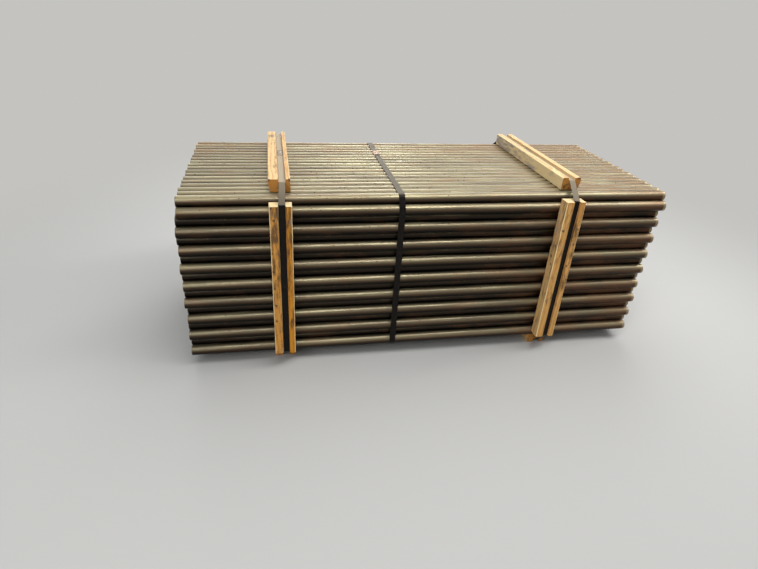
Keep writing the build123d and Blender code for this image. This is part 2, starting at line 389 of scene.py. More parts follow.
@dataclass(frozen=True)
class SawnPine:
    """Dressed pine batten stock: cream early wood, honey late wood and brown knots.

    Sawing leaves fine fibres along the length, and dirt and rust water stain the soft wood.
    """

    name: str = "sawn_pine"
    cream: str = "#f6dfa9"
    honey: str = "#d18a12"
    late: str = "#b76c0c"
    end: str = "#ac6c0c"
    stain: str = "#3d2a18"
    bluestain: str = "#86868a"
    knot: str = "#4b2c17"
    roughness: float = 0.72
    ior: float = 1.5

    # Growth rings round the pith, which lies along the batten and wanders a few millimetres
    ring: float = 4.2 * MM
    wander: Cloud = Cloud((14, 14, 3), 2.0, 0.5)
    wander_reach: Point = (18 * MM, 18 * MM, 0.0)
    late_ramp: Ramp = Ramp(0.45, 0.95)
    late_share: float = 0.45
    end_share: float = 0.8

    # Fibres 33 mm long and 1 mm wide, drawn coarser than real ones
    fibres: Cloud = Cloud((900, 900, 30), 3.0, 0.5)
    fibre_ramp: Ramp = Ramp(0.3, 0.7, 0.84, 1.08)
    late_relief: float = 0.6
    bump_strength: float = 0.4
    bump_depth: float = 0.3 * MM

    # Brown dirt in patches of 14 by 60 mm, longest along the grain
    dirt: Cloud = Cloud((70, 70, 16), 6.0, 0.7)
    dirt_push: float = 0.3
    dirt_ramp: Ramp = Ramp(0.64, 0.8, high=0.85)

    # Grey-blue smears that run askew over the left sides of the right-hand battens
    smears: Cloud = Cloud((30, 70, 16), 4.0, 0.6, (0.9, 0.0, 0.0))
    smear_push: float = 0.4
    smear_ramp: Ramp = Ramp(0.62, 0.78, high=0.75)

    # Noise added to the distance makes knots ragged and brings their edges in to one radius
    ragged: Cloud = Cloud((260, 260, 260), 3.0, 0.5)
    knot_raggedness: float = 2.2
    knot_outside: float = 2.1
    knot_inside: float = 1.5
    knot_share: float = 0.9

    def build(self, knots: Sequence[tuple[Vector, float]]) -> bpy.types.Material:
        """Builds the material.

        Args:
            knots: Place in the battens' own grain coordinates and radius of each knot.

        Returns:
            The material; it reads the battens' attributes grain, tone, stain, smear and end_grain.
        """
        material, tree, shader = new_finish(self.name)
        node = partial(add_node, tree)
        grain = node("ShaderNodeAttribute", attribute_name="grain").outputs["Vector"]
        tone, stain, smear, end_grain = (
            node("ShaderNodeAttribute", attribute_name=name).outputs["Fac"]
            for name in ("tone", "stain", "smear", "end_grain")
        )
        clouds = []
        for cloud in (self.wander, self.fibres, self.dirt, self.smears, self.ragged):
            stretched = node("ShaderNodeMapping", cloud.stretched(grain)).outputs[0]
            clouds.append(node("ShaderNodeTexNoise", cloud.drawn(stretched)).outputs)
        wander, fibres, dirt, smears, ragged = clouds

        # Distance from the pith, counted in rings
        bent = node(
            "ShaderNodeVectorMath",
            {0: wander["Color"], 1: self.wander_reach, 2: grain},
            operation="MULTIPLY_ADD",
        ).outputs[0]
        flat = node("ShaderNodeVectorMath", {0: bent, 1: (1.0, 1.0, 0.0)}, operation="MULTIPLY").outputs[0]
        radius = node("ShaderNodeVectorMath", {0: flat}, operation="LENGTH").outputs[1]
        turns = node("ShaderNodeMath", {0: radius, 1: self.ring}, operation="DIVIDE").outputs[0]
        within = node("ShaderNodeMath", {0: turns}, operation="FRACT").outputs[0]
        late_wood = node(
            "ShaderNodeMapRange", self.late_ramp.of(within), interpolation_type="SMOOTHSTEP"
        ).outputs[0]

        late, end = (
            node("ShaderNodeMath", {0: mask, 1: share}, operation="MULTIPLY").outputs[0]
            for mask, share in ((late_wood, self.late_share), (end_grain, self.end_share))
        )
        wood: Socket | Sequence[float] = linear(self.cream)
        for share, colour in ((tone, self.honey), (late, self.late), (end, self.end)):
            mixed = {0: share, 6: wood, 7: linear(colour)}
            wood = node("ShaderNodeMix", mixed, data_type="RGBA").outputs[2]
        shade = node("ShaderNodeMapRange", self.fibre_ramp.of(fibres["Fac"])).outputs[0]
        wood = node("ShaderNodeVectorMath", {0: wood, 1: shade}, operation="MULTIPLY").outputs[0]

        # Dirt and smears, where the batten's side asks for them
        masks = []
        for push, amount, cloud, ramp in (
            (stain, self.dirt_push, dirt, self.dirt_ramp),
            (smear, self.smear_push, smears, self.smear_ramp),
        ):
            pushed = {0: push, 1: amount, 2: cloud["Fac"]}
            marks = node("ShaderNodeMath", pushed, operation="MULTIPLY_ADD").outputs[0]
            masks.append(node("ShaderNodeMapRange", ramp.of(marks)).outputs[0])
        dirty, smeared = masks

        knotted: Socket | float = 0.0
        for centre, size in knots:
            away = node("ShaderNodeVectorMath", {0: grain, 1: centre}, operation="DISTANCE").outputs[1]
            pulled = {0: ragged["Fac"], 1: size * self.knot_raggedness, 2: away}
            away = node("ShaderNodeMath", pulled, operation="MULTIPLY_ADD").outputs[0]
            edge = Ramp(size * self.knot_outside, size * self.knot_inside, high=self.knot_share)
            knot = node("ShaderNodeMapRange", edge.of(away)).outputs[0]
            knotted = node("ShaderNodeMath", {0: knotted, 1: knot}, operation="MAXIMUM").outputs[0]

        for share, colour in ((dirty, self.stain), (smeared, self.bluestain), (knotted, self.knot)):
            mixed = {0: share, 6: wood, 7: linear(colour)}
            wood = node("ShaderNodeMix", mixed, data_type="RGBA").outputs[2]
        raised = {0: late_wood, 1: self.late_relief, 2: fibres["Fac"]}
        height = node("ShaderNodeMath", raised, operation="MULTIPLY_ADD").outputs[0]
        relief = {"Height": height, "Strength": self.bump_strength, "Distance": self.bump_depth}
        bump = node("ShaderNodeBump", relief).outputs[0]
        tree.links.new(wood, shader.inputs["Base Color"])
        tree.links.new(bump, shader.inputs["Normal"])
        shader.inputs["Roughness"].default_value = self.roughness
        shader.inputs["IOR"].default_value = self.ior
        return material


@dataclass(frozen=True)
class StrapSteel:
    """Cold-rolled strapping steel, waxed dark: smooth, scuffed grey, with dust where it lies flat."""

    name: str = "cold_rolled_strapping_steel"
    dark: str = "#1a1714"
    scuff: str = "#322d27"
    rust: str = "#3d2f26"
    dust: str = "#b9a98e"

    # Dust on what lies nearly level hides the metal
    dust_ramp: Ramp = Ramp(0.82, 0.98, high=0.8)
    metallic_ramp: Ramp = Ramp(low=0.8, high=0.1)

    # Scuffs of about 11 mm and rust spots of about 28 mm
    scuffs: Cloud = Cloud((90, 90, 90), 6.0, 0.7)
    scuff_ramp: Ramp = Ramp(0.5, 0.75, high=0.6)
    spots: Cloud = Cloud((35, 35, 35), 5.0, 0.75)
    rust_ramp: Ramp = Ramp(0.6, 0.76, high=0.4)

    rough_ramp: Ramp = Ramp(low=0.28, high=0.53)
    dust_roughness: float = 0.35
    bump_strength: float = 0.1
    bump_depth: float = 0.2 * MM

    def build(self) -> bpy.types.Material:
        """Builds the material on object coordinates.

        Returns:
            The material.
        """
        material, tree, shader = new_finish(self.name)
        node = partial(add_node, tree)
        place = node("ShaderNodeTexCoord").outputs["Object"]
        clouds = []
        for cloud in (self.scuffs, self.spots):
            stretched = node("ShaderNodeMapping", cloud.stretched(place)).outputs[0]
            clouds.append(node("ShaderNodeTexNoise", cloud.drawn(stretched)).outputs["Fac"])
        scuffs, spots = clouds
        facing = node("ShaderNodeNewGeometry").outputs["Normal"]
        upward = node("ShaderNodeSeparateXYZ", {0: facing}).outputs[2]
        scuffed, rusty, dusty, rough = (
            node("ShaderNodeMapRange", ramp.of(measure)).outputs[0]
            for ramp, measure in (
                (self.scuff_ramp, scuffs),
                (self.rust_ramp, spots),
                (self.dust_ramp, upward),
                (self.rough_ramp, scuffs),
            )
        )
        colour: Socket | Sequence[float] = linear(self.dark)
        for share, layer in ((scuffed, self.scuff), (rusty, self.rust), (dusty, self.dust)):
            mixed = {0: share, 6: colour, 7: linear(layer)}
            colour = node("ShaderNodeMix", mixed, data_type="RGBA").outputs[2]
        bare = node("ShaderNodeMapRange", self.metallic_ramp.of(dusty)).outputs[0]
        dry = {0: dusty, 1: self.dust_roughness, 2: rough}
        rough = node("ShaderNodeMath", dry, operation="MULTIPLY_ADD").outputs[0]
        relief = {"Height": scuffs, "Strength": self.bump_strength, "Distance": self.bump_depth}
        bump = node("ShaderNodeBump", relief).outputs[0]
        looks = {"Base Color": colour, "Metallic": bare, "Roughness": rough, "Normal": bump}
        for name, value in looks.items():
            tree.links.new(value, shader.inputs[name])
        return material


@dataclass(frozen=True)
class SealSteel(StrapSteel):
    """Stamped seal steel, grey as the strap, with pale scuffs where its thin zinc is left."""

    name: str = "stamped_seal_steel"
    dark: str = "#6b6258"
    scuff: str = "#d9cbb5"
    rust: str = "#8a6350"
    dust_ramp: Ramp = Ramp(0.82, 0.98, high=0.3)
    metallic_ramp: Ramp = Ramp(low=0.7, high=0.1)
    rough_ramp: Ramp = Ramp(low=0.32, high=0.57)


def link_piece(
    mesh: bpy.types.Mesh,
    name: str,
    replaced: Iterable[str] = (),
    sharp_angle: float = 40.0,
) -> None:
    """Makes a finished mesh a piece of the bundle.

    Args:
        mesh: Mesh with its place in its vertices.
        name: Name of the piece.
        replaced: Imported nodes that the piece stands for.
        sharp_angle: Edges that turn by more than this many degrees stay sharp.
    """
    mesh.name = name
    mesh.shade_smooth()
    mesh.set_sharp_from_angle(angle=math.radians(sharp_angle))
    piece = bpy.data.objects.new(name, mesh)
    bpy.context.scene.collection.objects.link(piece)
    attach(piece, BODY)
    if replaced:
        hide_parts(*replaced)
    LOG.info("%s: %d faces", name, len(mesh.polygons))


def outward(mesh: bpy.types.Mesh) -> None:
    """Turns a closed mesh's faces outwards.

    Args:
        mesh: Mesh that is changed in place.
    """
    shell = bmesh.new()
    shell.from_mesh(mesh)
    bmesh.ops.recalc_face_normals(shell, faces=shell.faces)
    shell.to_mesh(mesh)
    shell.free()


class PipeTree:
    """Geometry Nodes tree that lays one pipe on every point it is given."""

    NAME = "pipes_laid_on_points"
    INPUTS = {
        "Points": "NodeSocketGeometry",
        "Outside Radius": "NodeSocketFloat",
        "Wall": "NodeSocketFloat",
        "Length": "NodeSocketFloat",
        "Rim Wear": "NodeSocketFloat",
        "Worn Rim": "NodeSocketBool",
        "Segments": "NodeSocketInt",
        "Seed": "NodeSocketInt",
        "Iron": "NodeSocketMaterial",
    }

    def __init__(self) -> None:
        """Builds the tree with a named input for each size."""
        self.tree = bpy.data.node_groups.new(self.NAME, "GeometryNodeTree")
        self.sockets: dict[str, str] = {}
        for label, kind in self.INPUTS.items():
            socket = self.tree.interface.new_socket(label, in_out="INPUT", socket_type=kind)
            self.sockets[label] = socket.identifier
        self.tree.interface.new_socket("Pipes", in_out="OUTPUT", socket_type="NodeSocketGeometry")
        self._fill()

    def _fill(self) -> None:
        """Adds the nodes: a wall section swept round the axis, then laid on the points."""
        node = partial(add_node, self.tree)
        given = node("NodeGroupInput").outputs
        half_wall, half_length = (
            node("ShaderNodeMath", {0: given[size], 1: 0.5}, operation="MULTIPLY").outputs[0]
            for size in ("Wall", "Length")
        )
        reach = {0: given["Outside Radius"], 1: half_wall}
        mean = node("ShaderNodeMath", reach, operation="SUBTRACT").outputs[0]
        round_path = node(
            "GeometryNodeCurvePrimitiveCircle", {"Resolution": given["Segments"], "Radius": mean}
        ).outputs[0]
        section = node(
            "GeometryNodeCurvePrimitiveQuadrilateral", {"Width": given["Wall"], "Height": given["Length"]}
        ).outputs[0]
        worn = node("GeometryNodeFilletCurve", {"Curve": section, "Radius": given["Rim Wear"]}).outputs[0]
        choice = {"Switch": given["Worn Rim"], "False": section, "True": worn}
        section = node("GeometryNodeSwitch", choice, input_type="GEOMETRY").outputs[0]
        tube = node("GeometryNodeCurveToMesh", {"Curve": round_path, "Profile Curve": section}).outputs[0]
        forward = node("ShaderNodeCombineXYZ", {0: half_length}).outputs[0]
        laid_flat = {"Geometry": tube, "Translation": forward, "Rotation": (0.0, math.pi / 2, 0.0)}
        tube = node("GeometryNodeTransform", laid_flat).outputs[0]
        where = node("GeometryNodeInputPosition").outputs[0]
        along = node("ShaderNodeSeparateXYZ", {0: where}).outputs[0]
        tube = node(
            "GeometryNodeStoreNamedAttribute",
            {"Geometry": tube, "Name": "along", "Value": along},
            data_type="FLOAT",
            domain="POINT",
        ).outputs[0]
        roll, tint = (
            node(
                "FunctionNodeRandomValue", {2: 0.0, 3: most, "Seed": given["Seed"]}, data_type="FLOAT"
            ).outputs[1]
            for most in (2 * math.pi, 1.0)
        )
        turned = node("ShaderNodeCombineXYZ", {0: roll}).outputs[0]
        copies = {"Points": given["Points"], "Instance": tube, "Rotation": turned}
        laid = node("GeometryNodeInstanceOnPoints", copies).outputs[0]
        laid = node(
            "GeometryNodeStoreNamedAttribute",
            {"Geometry": laid, "Name": "pipe_tint", "Value": tint},
            data_type="FLOAT",
            domain="INSTANCE",
        ).outputs[0]
        real = node("GeometryNodeRealizeInstances", {0: laid}).outputs[0]
        dressed = node("GeometryNodeSetMaterial", {"Geometry": real, "Material": given["Iron"]}).outputs[0]
        node("NodeGroupOutput", {0: dressed})


@dataclass
class PipeNest:
    """The 333 pipes, nested in rows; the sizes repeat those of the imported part."""

    radius: float = 16.7 * MM
    wall: float = 3.38 * MM
    length: float = 1524 * MM
    pitch: float = 33.5 * MM
    rows: int = 18
    full_row: int = 19
    bottom: float = 38.2 * MM
    end_wander: float = 2 * MM
    wander_steps: tuple[float, ...] = (0, 1, -0.6, 0.4, -1, 0.7, -0.3)
    wander_row_steps: int = 3
    top_slide: float = 9 * MM
    slid_rows: int = 2
    rim_wear: float = 0.7 * MM
    seed: int = 11

    # Sides of a pipe, fewer where only its end or its underside is seen
    shown_segments: int = 40
    outer_segments: int = 28
    inner_segments: int = 16

    def count(self, row: int) -> int:
        """Number of pipes in a row counted from the bottom."""
        return self.full_row - row % 2

    def start(self, row: int, place: int) -> Vector:
        """Middle of a pipe's left end.

        Args:
            row: Row, counted from the bottom.
            place: Place in the row, counted from the front.

        Returns:
            The point in metres.
        """
        slide = self.top_slide / 2 if row >= self.rows - self.slid_rows else -self.top_slide / 2
        step = self.wander_steps[(self.wander_row_steps * row + place) % len(self.wander_steps)]
        x = slide + self.end_wander * step - self.length / 2
        y = (place - (self.count(row) - 1) / 2) * self.pitch
        z = self.bottom + self.radius + row * self.pitch * math.sqrt(3) / 2
        return Vector((x, y, z))

    def groups(self) -> dict[str, list[Vector]]:
        """Sorts the pipes into the pieces that they go into.

        Returns:
            Middles of the left ends, by piece.
        """
        last = self.rows - 1
        found: dict[str, list[Vector]] = {"top": [], "front": [], "rim": [], "inner": []}
        for row in range(self.rows):
            for place in range(self.count(row)):
                if row == last:
                    group = "top"
                elif place == 0:
                    group = "front"
                elif row == 0 or place == self.count(row) - 1:
                    group = "rim"
                else:
                    group = "inner"
                found[group].append(self.start(row, place))
        return found

    def lay(
        self,
        tree: PipeTree,
        points: Sequence[Vector],
        iron: bpy.types.Material,
        segments: int,
        worn_rim: bool,
    ) -> bpy.types.Mesh:
        """Lays pipes on points with the Geometry Nodes tree.

        Args:
            tree: The pipe tree.
            points: Middles of the pipes' left ends.
            iron: Material of the pipes.
            segments: Sides of each pipe.
            worn_rim: Whether the rims get their worn edge.

        Returns:
            The pipes as one plain mesh.
        """
        dots = bpy.data.meshes.new("pipe_points")
        dots.from_pydata([tuple(point) for point in points], [], [])
        holder = bpy.data.objects.new("pipe_points", dots)
        bpy.context.scene.collection.objects.link(holder)
        modifier = holder.modifiers.new("lay_pipes", "NODES")
        modifier.node_group = tree.tree
        for label, value in (
            ("Outside Radius", self.radius),
            ("Wall", self.wall),
            ("Length", self.length),
            ("Rim Wear", self.rim_wear),
            ("Worn Rim", worn_rim),
            ("Segments", segments),
            ("Seed", self.seed + len(points)),
            ("Iron", iron),
        ):
            modifier[tree.sockets[label]] = value
        depsgraph = bpy.context.evaluated_depsgraph_get()
        mesh = bpy.data.meshes.new_from_object(
            holder.evaluated_get(depsgraph), preserve_all_data_layers=True, depsgraph=depsgraph
        )
        holder.modifiers.remove(modifier)
        bpy.data.objects.remove(holder)
        outward(mesh)
        return mesh

    def build(self, iron: bpy.types.Material) -> None:
        """Builds the four groups of pipes.

        Args:
            iron: Material of the pipes.
        """
        tree = PipeTree()
        points = self.groups()
        for group, name, replaced, segments, worn_rim in (
            ("top", "top_pipes", ["top_row_pipes"], self.shown_segments, True),
            ("front", "front_pipes", ["front_face_pipes"], self.shown_segments, True),
            ("rim", "under_and_rear_pipes", ["pipe_core"], self.outer_segments, False),
            ("inner", "inner_pipes", [], self.inner_segments, False),
        ):
            mesh = self.lay(tree, points[group], iron, segments, worn_rim)
            link_piece(mesh, name, replaced)


@dataclass(frozen=True)
class Look:
    """How one side of a batten looks: 0 is clean cream wood and 1 the strongest."""

    tone: float
    stain: float
    smear: float = 0.0


class Knot(NamedTuple):
    """A knot's place on its batten, and its radius, all in millimetres."""

    across: float
    depth: float
    along: float
    size: float


@dataclass
class Batten:
    """One sawn batten with a strap groove in its outer face.

    The section lies in (across, depth): across is along the pipes, and depth runs from the pipes
    outwards. A place along the batten is measured from its start.
    """

    node: str
    run: Vector
    out: Vector
    seed: int
    groove_shift: float = 3.5 * MM
    wane: Side | None = None
    outer: Look = Look(0.5, 0.35)
    left: Look = Look(0.5, 0.35)
    right: Look = Look(0.5, 0.35)
    strip: Look | None = None
    end: Look = Look(0.6, 0.5)
    end_depth: float = 1.0
    knots: tuple[Knot, ...] = ()
    ease: float = 2.0 * MM
    groove_width: float = 22.05 * MM
    groove_depth: float = 8.0 * MM
    wane_width: float = 7.0 * MM
    wane_height: float = 24.0 * MM
    step: float = 7.0 * MM

    # Where the pith can lie: across and behind the batten, and how far along the tree, in metres
    pith_across: tuple[float, float] = (-0.03, 0.03)
    pith_depth: tuple[float, float] = (0.03, 0.06)
    pith_along: tuple[float, float] = (0.0, 3.0)

    # Shares of the eased edge that count as rubbed edge and as side
    rubbed_share: float = 0.9
    side_share: float = 0.3

    # The saw's wobble over 30 mm, and knocks on the edges 2.5 times as close
    saw_wobble: float = 0.35 * MM
    wobble_length: float = 30 * MM
    knock: float = 1.1 * MM
    knock_rate: float = 2.5
    knock_least: float = 0.15
    noise_spread: float = 100.0

    # Along the batten smears fade to a tenth, and stains to a little under a half
    fade: float = 0.9
    stain_kept: float = 0.4
    end_fading: float = 0.5
    sharp_angle: float = 28.0

    def __post_init__(self) -> None:
        """Reads the batten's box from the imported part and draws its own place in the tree."""
        low, high = (Vector(corner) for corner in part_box(self.node))
        spans = high - low
        middle = (low + high) / 2
        self.length = abs(spans.dot(self.run))
        self.thickness = abs(spans.dot(self.out))
        self.width = spans.dot(ACROSS)
        self.origin = middle - self.run * self.length / 2 - self.out * self.thickness / 2
        draw = random.Random(self.seed)
        ranges = (self.pith_across, self.pith_depth, self.pith_along)
        self.pith = Vector([draw.uniform(least, most) for least, most in ranges])

    def knot_places(self) -> list[tuple[Vector, float]]:
        """Each knot's place in the batten's grain coordinates, and its radius."""
        return [(Vector(knot[:3]) * MM + self.pith, knot.size * MM) for knot in self.knots]

    def section(self) -> list[tuple[float, float]]:
        """Lists the corners of the section.

        Returns:
            Corners (across, depth), counterclockwise.
        """
        half, thick, ease = self.width / 2, self.thickness, self.ease
        groove_right = self.groove_shift + self.groove_width / 2
        groove_left = self.groove_shift - self.groove_width / 2
        floor = thick - self.groove_depth
        lower_left, lower_right = [(-half, 0.0)], [(half, 0.0)]
        if self.wane is Side.LEFT:
            lower_left = [(-half, self.wane_height), (-half + self.wane_width, 0.0)]
        if self.wane is Side.RIGHT:
            lower_right = [(half - self.wane_width, 0.0), (half, self.wane_height)]
        return [
            *lower_left,
            *lower_right,
            (half, thick - ease),
            (half - ease, thick),
            (groove_right, thick),
            (groove_right, floor),
            (groove_left, floor),
            (groove_left, thick),
            (-half + ease, thick),
            (-half, thick - ease),
        ]

    def outline(self) -> list[tuple[float, float, bool]]:
        """Splits the section's long sides.

        Returns:
            Points (across, depth) and whether each is a corner.
        """
        corners = self.section()
        points: list[tuple[float, float, bool]] = []
        for index, (u, v) in enumerate(corners):
            next_u, next_v = corners[(index + 1) % len(corners)]
            parts = max(1, round(math.hypot(next_u - u, next_v - v) / self.step))
            for part in range(parts):
                share = part / parts
                points.append((u + (next_u - u) * share, v + (next_v - v) * share, part == 0))
        return points

    def worn(self, u: float, v: float, corner: bool, along: float) -> Vector:
        """Point of the batten after the saw's wobble and the knocks on its edges.

        Args:
            u: Place across the batten.
            v: Depth from the pipes outwards.
            corner: Whether the point is on an edge of the section.
            along: Distance from the batten's start.

        Returns:
            The point in metres; it never leaves the batten's box.
        """
        inward = Vector((-u, self.thickness / 2 - v, 0.0))
        if inward.length > 0:
            inward.normalize()
        place = Vector((u, v, along)) / self.wobble_length + self.pith * self.noise_spread
        depth = self.saw_wobble * max(0.0, 0.5 + noise.noise(place))
        if corner:
            depth += self.knock * max(0.0, noise.noise(place * self.knock_rate) - self.knock_least)
        moved = Vector((u, v, along)) + inward * depth
        return self.origin + ACROSS * moved.x + self.out * moved.y + self.run * moved.z

    def look_at(self, u: float, v: float) -> Look:
        """Finds the side that a point of the section is on.

        Args:
            u: Place across the batten.
            v: Depth from the pipes outwards.

        Returns:
            The look of that side; the eased edges are rubbed clean.
        """
        half, rubbed = self.width / 2, self.rubbed_share * self.ease
        if v > self.thickness - rubbed and abs(u) > half - rubbed:
            return Look(0.0, 0.0)
        if v > self.thickness - self.groove_depth and abs(u) < half - self.side_share * self.ease:
            return self.strip if self.strip and u > self.groove_shift else self.outer
        return self.left if u < 0 else self.right

    def build(self, pine: bpy.types.Material) -> None:
        """Builds the batten's mesh with its attributes and links it.

        Args:
            pine: Material of the battens.
        """
        outline = self.outline()
        size, rows = len(outline), max(2, round(self.length / self.step))
        vertices, grain = [], []
        for row in range(rows + 1):
            along = self.length * row / rows
            for u, v, corner in outline:
                vertices.append(self.worn(u, v, corner, along))
                grain.append(Vector((u, v, along)) + self.pith)
        faces, looks, ends, fading = [], [], [], []
        for row in range(rows):
            base, up = row * size, (row + 1) * size
            for index in range(size):
                after = (index + 1) % size
                faces.append((base + index, base + after, up + after, up + index))
                u = (outline[index][0] + outline[after][0]) / 2
                v = (outline[index][1] + outline[after][1]) / 2
                looks.append(self.look_at(u, v))
                ends.append(0.0)
                fading.append(1 - self.fade * row / rows)
        faces.append(tuple(range(size - 1, -1, -1)))
        faces.append(tuple(rows * size + index for index in range(size)))
        looks += [self.end] * 2
        ends += [self.end_depth] * 2
        fading += [self.end_fading] * 2
        mesh = bpy.data.meshes.new(self.node)
        mesh.from_pydata([tuple(vertex) for vertex in vertices], [], faces)
        mesh.update()
        spread = mesh.attributes.new("grain", "FLOAT_VECTOR", "POINT")
        spread.data.foreach_set("vector", [value for point in grain for value in point])
        kept = [self.stain_kept + (1 - self.stain_kept) * share for share in fading]
        for name, values in (
            ("tone", [look.tone for look in looks]),
            ("stain", [look.stain * share for look, share in zip(looks, kept)]),
            ("smear", [look.smear * share for look, share in zip(looks, fading)]),
            ("end_grain", ends),
        ):
            layer = mesh.attributes.new(name, "FLOAT", "FACE")
            layer.data.foreach_set("value", values)
        mesh.materials.append(pine)
        outward(mesh)
        link_piece(mesh, f"{self.node}_pine", [self.node], self.sharp_angle)


def strip_mesh(
    path: Sequence[Vector], width: float, thickness: float, closed: bool
) -> tuple[list[Vector], list[tuple[int, ...]]]:
    """Sweeps a flat band with softened edges along a path.

    Args:
        path: Points on the band's middle surface.
        width: Width of the band, laid across the bundle's long axis.
        thickness: Thickness of the band.
        closed: Whether the band is a loop.

    Returns:
        Vertices and faces.
    """
    half, soft, edge = width / 2, 0.25 * MM, thickness / 2
    section = [
        (-half + soft, -edge),
        (half - soft, -edge),
        (half, -edge + soft),
        (half, edge - soft),
        (half - soft, edge),
        (-half + soft, edge),
        (-half, edge - soft),
        (-half, -edge + soft),
    ]
    count, size = len(path), len(section)
    vertices: list[Vector] = []
    for index, point in enumerate(path):
        before = path[index - 1] if closed or index else path[index]
        after = path[(index + 1) % count] if closed or index < count - 1 else path[index]
        tangent = (after - before).normalized()
        side = (ACROSS - tangent * ACROSS.dot(tangent)).normalized()
        normal = tangent.cross(side)
        vertices += [point + side * u + normal * v for u, v in section]
    faces: list[tuple[int, ...]] = []
    for index in range(count if closed else count - 1):
        base, up = index * size, (index + 1) % count * size
        for corner in range(size):
            after_corner = (corner + 1) % size
            faces.append((base + corner, base + after_corner, up + after_corner, up + corner))
    if not closed:
        faces.append(tuple(range(size - 1, -1, -1)))
        faces.append(tuple((count - 1) * size + corner for corner in range(size)))
    return vertices, faces


def rounded(corners: Sequence[Vector], bend: float, steps: int = 4) -> list[Vector]:
    """Rounds the corners of a closed route.

    Args:
        corners: Corners of the route.
        bend: Distance from each corner at which its bend starts.
        steps: Straight pieces in each bend.

    Returns:
        Points of the rounded route.
    """
    points: list[Vector] = []
    for index, corner in enumerate(corners):
        before = corners[index - 1] - corner
        after = corners[(index + 1) % len(corners)] - corner
        start = corner + before.normalized() * min(bend, before.length / 2)
        end = corner + after.normalized() * min(bend, after.length / 2)
        for step in range(steps + 1):
            share = step / steps
            points.append(start * (1 - share) ** 2 + corner * 2 * share * (1 - share) + end * share**2)
    return points


@dataclass
class Strap:
    """One flat strap, drawn tight, with its overlapping tail."""

    node: str
    width: float = 19.05 * MM
    thickness: float = 0.8 * MM
    bend: float = 3.0 * MM
    tail_overhang: float = 12.0 * MM

    # The tail's middle above the seal's underside, in thicknesses of the strap
    tail_level: float = 1.5

    @property
    def seal_node(self) -> str:
        """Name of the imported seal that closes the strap."""
        return self.node.replace("strap", "strap_seal")

    def route(self) -> list[Vector]:
        """Points on the strap's middle surface, in order round the bundle."""
        raise NotImplementedError

    def build(self, steel: bpy.types.Material) -> None:
        """Builds the loop and its tail as one piece.

        Args:
            steel: Material of the strap.
        """
        vertices, faces = strip_mesh(self.route(), self.width, self.thickness, True)
        low, high = (Vector(corner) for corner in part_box(self.seal_node))
        middle = (low + high) / 2
        level = low.z + self.thickness * self.tail_level
        reach = (high.y - low.y) / 2 + self.tail_overhang
        tail = [Vector((middle.x, middle.y + reach * share, level)) for share in (-1, 0, 1)]
        tail_vertices, tail_faces = strip_mesh(tail, self.width, self.thickness, False)
        first = len(vertices)
        vertices += tail_vertices
        faces += [tuple(first + corner for corner in face) for face in tail_faces]
        mesh = bpy.data.meshes.new(self.node)
        mesh.from_pydata([tuple(vertex) for vertex in vertices], [], faces)
        mesh.materials.append(steel)
        outward(mesh)
        link_piece(mesh, f"{self.node}_band", [self.node])


@dataclass
class FrameStrap(Strap):
    """Strap that lies in the grooves of the four battens of one frame."""

    side: Side = Side.LEFT
    groove_depth: float = 8.0 * MM
    top_groove: float = 0.0
    side_groove: float = 3.5 * MM

    def route(self) -> list[Vector]:
        """Lists the corners where the strap turns over the battens' ends.

        Returns:
            The corners in order round the bundle, rounded.
        """
        (top_low, top_high), (front_low, front_high), (bottom_low, bottom_high), (back_low, back_high) = (
            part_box(f"{face}_batten_{self.side.value}") for face in ("top", "front", "bottom", "back")
        )
        half = self.thickness / 2
        top_x = (top_low[0] + top_high[0]) / 2 + self.top_groove
        side_x = (front_low[0] + front_high[0]) / 2 + self.side_groove
        over = top_high[2] - self.groove_depth + half
        under = bottom_low[2] + self.groove_depth - half
        ahead = front_low[1] + self.groove_depth - half
        behind = back_high[1] - self.groove_depth + half
        corners = [
            Vector((top_x, top_low[1] - half, over)),
            Vector((side_x, ahead, front_high[2] + half)),
            Vector((side_x, ahead, front_low[2] - half)),
            Vector((side_x, bottom_low[1] - half, under)),
            Vector((side_x, bottom_high[1] + half, under)),
            Vector((side_x, behind, back_low[2] - half)),
            Vector((side_x, behind, back_high[2] + half)),
            Vector((top_x, top_high[1] + half, over)),
        ]
        return rounded(corners, self.bend)


@dataclass
class PipeStrap(Strap):
    """Strap drawn tight round the pipes themselves."""

    nest: PipeNest = field(default_factory=PipeNest)
    wrap_gap: float = 0.3 * MM
    directions: int = 120

    def route(self) -> list[Vector]:
        """Finds the outline of the corner pipes, one direction at a time.

        Returns:
            Points in order round the bundle.
        """
        low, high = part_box(self.node)
        x = (low[0] + high[0]) / 2
        last = self.nest.rows - 1
        centres = [
            self.nest.start(row, place)
            for row in (0, last - 1, last)
            for place in (0, self.nest.count(row) - 1)
        ]
        reach = self.nest.radius + self.wrap_gap + self.thickness / 2
        points: list[Vector] = []
        for index in range(self.directions):
            angle = 2 * math.pi * (index + 0.5) / self.directions
            way = Vector((0.0, math.cos(angle), math.sin(angle)))
            corner = max(centres, key=lambda centre: centre.dot(way))
            points.append(Vector((x, corner.y, corner.z)) + way * reach)
        return points


